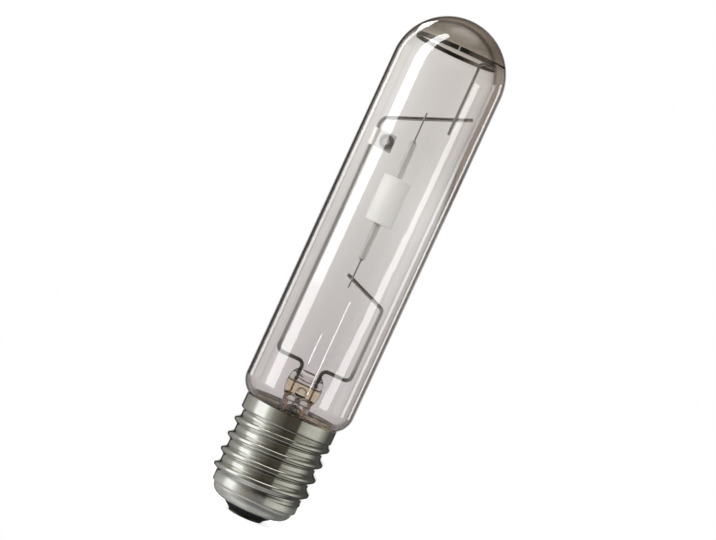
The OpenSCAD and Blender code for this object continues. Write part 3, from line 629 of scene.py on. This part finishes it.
def past_glass(tree, shown, path, through, x, y, z):
    """What shows through the glass: white straight on, dark steeply in front, warm beside and above."""
    steep = tree.calc("MULTIPLY", tree.share(y, -4.0, 0.4), tree.share(tree.calc("ABSOLUTE", z), 5.0, -1.75))
    shown = tree.mix(tree.calc("MULTIPLY", through, steep), shown, (0.10, 0.085, 0.08))
    mirrored = tree.calc("GREATER_THAN", path["Glossy Depth"], 0.5)
    straight = tree.calc("MULTIPLY", through, tree.calc("SUBTRACT", 1.0, mirrored))
    shown = tree.mix(straight, shown, grey(1.0))
    behind = tree.calc("MULTIPLY", through, tree.share(y, 8.0, -4.0))
    shown = tree.mix(tree.calc("MULTIPLY", behind, tree.share(x, 5.0, -1.0)), shown, WARM)
    return tree.mix(tree.calc("MULTIPLY", behind, tree.share(z, 5.0, -1.2)), shown, WARM_HIGH)


def sheet(tree, shown, through, x, y, z):
    """Behind the lamp a white sheet, and darkness round the sheet, less dark to the right and above."""
    right = tree.calc("MAXIMUM", x, 0.0)
    dark = tree.mix(tree.calc("MULTIPLY", through, tree.calc("MULTIPLY", right, 4.0)), DUSK, WARM)
    dark = tree.mix(tree.calc("MULTIPLY", through, tree.share(z, 4.0, -0.8)), dark, WARM_HIGH)
    ringed = tree.ramp(y, [(0.0, grey(0)), (0.79, grey(0)), (0.84, grey(1)), (1.0, grey(1))])
    shown = tree.mix(ringed, shown, dark)
    on_sheet = tree.ramp(tree.calc("MULTIPLY_ADD", right, 0.04, y), [
        (0.0, grey(0)), (0.92, grey(0)), (0.945, grey(1)), (1.0, grey(1)),
    ])
    return tree.mix(on_sheet, shown, grey(1.0))


def world_light():
    world = bpy.data.worlds.new("studio")
    scene.world = world
    tree = Tree(world)
    direction = tree.add("SeparateXYZ", {"Vector": tree.add("TexCoord", output="Generated")}).node.outputs
    x, y, z = direction["X"], direction["Y"], direction["Z"]
    path = tree.add("LightPath").node.outputs

    # Round the lamp as shares of a turn, 0.5 towards the camera and more to its right; up in degrees
    turn = tree.calc("ARCTAN2", x, tree.calc("MULTIPLY", y, -1))
    around = tree.calc("ADD", tree.calc("DIVIDE", turn, 2 * math.pi), 0.5)
    up = tree.calc("MULTIPLY", tree.calc("ARCSINE", z), 180 / math.pi)

    through = tree.calc("GREATER_THAN", path["Transmission Depth"], 0.5)
    shown = room(tree, around, up)
    shown = past_glass(tree, shown, path, through, x, y, z)
    shown = sheet(tree, shown, through, x, y, z)
    seen = tree.mix(path["Is Camera Ray"], shown, grey(1.0))
    seen = tree.mix(tree.calc("GREATER_THAN", path["Diffuse Depth"], 0.5), seen, grey(FILL))
    tree.end("World", Surface=tree.add("Background", {"Color": seen, "Strength": 1.0}))


world_light()


# Lamps, in metres

# The cap shows only the walls and the ceramic takes only the soft light, so the panels leave these out
NOT_LIT = ("rolled_cap_shell", "cap_insulator", "centre_contact", "contact_solder",
           "arc_tube_barrel", "upper_capillary", "lower_capillary")
NEAR = 0.9

lit = bpy.data.collections.new("lit_by_panels")
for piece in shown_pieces():
    if piece.name not in NOT_LIT:
        lit.objects.link(piece)


def softbox(name, azimuth, low, high, width, radiance, distance=NEAR, shiny=True):
    """An upright panel that faces the lamp, at so many degrees to the right of the camera."""
    light = bpy.data.lights.new(name, "AREA")
    light.shape = "RECTANGLE"
    light.size = width
    light.size_y = high - low
    light.energy = radiance * math.pi * width * (high - low)
    lamp = bpy.data.objects.new(name, light)
    scene.collection.objects.link(lamp)
    a = math.radians(azimuth)
    lamp.location = (distance * math.sin(a), -distance * math.cos(a), (low + high) / 2)
    inward = Vector((-lamp.location.x, -lamp.location.y, 0))
    lamp.rotation_euler = inward.to_track_quat("-Z", "Y").to_euler()
    lamp.visible_camera = False
    lamp.visible_transmission = False
    lamp.visible_glossy = shiny
    if shiny:
        lamp.light_linking.receiver_collection = lit


softbox("panel_left_low", -64.9, -0.1, 0.06, 0.379, 7.0)
softbox("panel_left", -64.9, 0.06, 0.6, 0.379, 9.0)
softbox("panel_left_high", -64.9, 0.6, 2.1, 0.379, 14.0)

# The right panel leans inwards towards its top, in slices
for number, (azimuth, width, low, high) in enumerate([
    (53.4, 0.306, -0.037, -0.016), (54.6, 0.295, -0.016, 0.004), (55.8, 0.27, 0.004, 0.024),
    (57.1, 0.254, 0.024, 0.044), (58.2, 0.25, 0.044, 0.066), (60.0, 0.243, 0.066, 0.092),
    (61.6, 0.225, 0.092, 0.12), (62.8, 0.196, 0.12, 0.265),
]):
    softbox(f"panel_right_{number}", azimuth, low, high, width, 6.2)
softbox("line_right", 12.4, -0.03, 0.058, 0.032, 12.0)
softbox("line_left", -11.0, 0.0, 0.027, 0.03, 15.0)
softbox("strip_right", 105, -0.06, 0.4, 0.14, 4.2)
softbox("strip_far_right", 132, -0.06, 0.4, 0.13, 3.6)
softbox("strip_left", -127, -0.06, 0.75, 0.18, 3.6)
softbox("streak_left_high", -138, 0.62, 0.95, 0.36, 7.0)
softbox("wide_left", -106, -0.06, 0.4, 0.3, 1.0)
softbox("wide_right", 86, -0.06, 0.4, 0.3, 0.9)
softbox("soft_left", -60, 0.0, 0.8, 0.8, 4.2, distance=1.0, shiny=False)
softbox("soft_right", 50, 0.0, 0.8, 0.8, 2.6, distance=1.0, shiny=False)
softbox("soft_back", 180, 0.1, 0.9, 0.9, 1.5, distance=1.2, shiny=False)


# Floor, in metres: white, with the lamp's shadow near the lamp

FLOOR_HALF = 4
SHADOW_TO, WHITE_FROM = 0.06, 0.22
FLOOR_COLOUR, FLOOR_LIFT = 0.8, 0.68

# Seen through the glass, the floor ends here, so that its edges show the dark round the sheet
FLOOR_ENDS = 0.45


def floor_material():
    material, tree = new_material("floor_white")
    path = tree.add("LightPath").node.outputs
    away = tree.add("VectorMath", {0: tree.add("TexCoord", output="Object")}, "Value", operation="LENGTH")
    plain_white = tree.add("BsdfDiffuse", {"Color": grey(FLOOR_COLOUR)})
    lift = tree.add("Emission", {"Color": grey(1), "Strength": FLOOR_LIFT})
    shadowed = tree.add("AddShader", {0: plain_white, 1: lift})
    white = tree.add("Emission", {"Color": grey(1), "Strength": 1.0})
    fade = tree.between(away, SHADOW_TO, WHITE_FROM, interpolation_type="SMOOTHSTEP")
    near_far = tree.add("MixShader", {"Fac": fade, 1: shadowed, 2: white})
    bounces = tree.calc("ADD", path["Glossy Depth"], path["Diffuse Depth"])
    bounced = tree.calc("GREATER_THAN", bounces, 0.5)
    shown = tree.add("MixShader", {"Fac": bounced, 1: near_far, 2: plain_white})
    far = tree.calc("GREATER_THAN", away, FLOOR_ENDS)
    through = tree.calc("GREATER_THAN", path["Transmission Depth"], 0.5)
    gone = tree.calc("MULTIPLY", far, through)
    nothing = tree.add("BsdfTransparent")
    tree.end("Material", Surface=tree.add("MixShader", {"Fac": gone, 1: shown, 2: nothing}))
    return material


floor_mesh = bpy.data.meshes.new("floor")
corners = [(-FLOOR_HALF, -FLOOR_HALF, 0), (FLOOR_HALF, -FLOOR_HALF, 0),
           (FLOOR_HALF, FLOOR_HALF, 0), (-FLOOR_HALF, FLOOR_HALF, 0)]
floor_mesh.from_pydata(corners, [], [(0, 1, 2, 3)])
floor_mesh.materials.append(floor_material())
floor = bpy.data.objects.new("floor", floor_mesh)
scene.collection.objects.link(floor)
floor.visible_glossy = False


# Camera at the photograph's viewing angle, rolled so that the lamp's top leans to the right

LENS, SENSOR, DISTANCE, RISE, ROLL = 117.6, 36, 0.9, 1.5, 24.714
AIM = Vector((0.00012, 0, 0.1045))

camera = bpy.data.objects.new("camera", bpy.data.cameras.new("camera"))
scene.collection.objects.link(camera)
camera.data.sensor_width = SENSOR
camera.data.lens = LENS
rise = math.radians(RISE)
back = Vector((0, -math.cos(rise), math.sin(rise)))
camera.location = AIM + back * DISTANCE
facing = (-back).to_track_quat("-Z", "Y").to_matrix()
camera.rotation_euler = (facing @ Matrix.Rotation(math.radians(ROLL), 3, "Z")).to_euler()
camera.data.clip_start = 0.01
camera.data.clip_end = 20
scene.camera = camera
scene.view_settings.view_transform = "Standard"
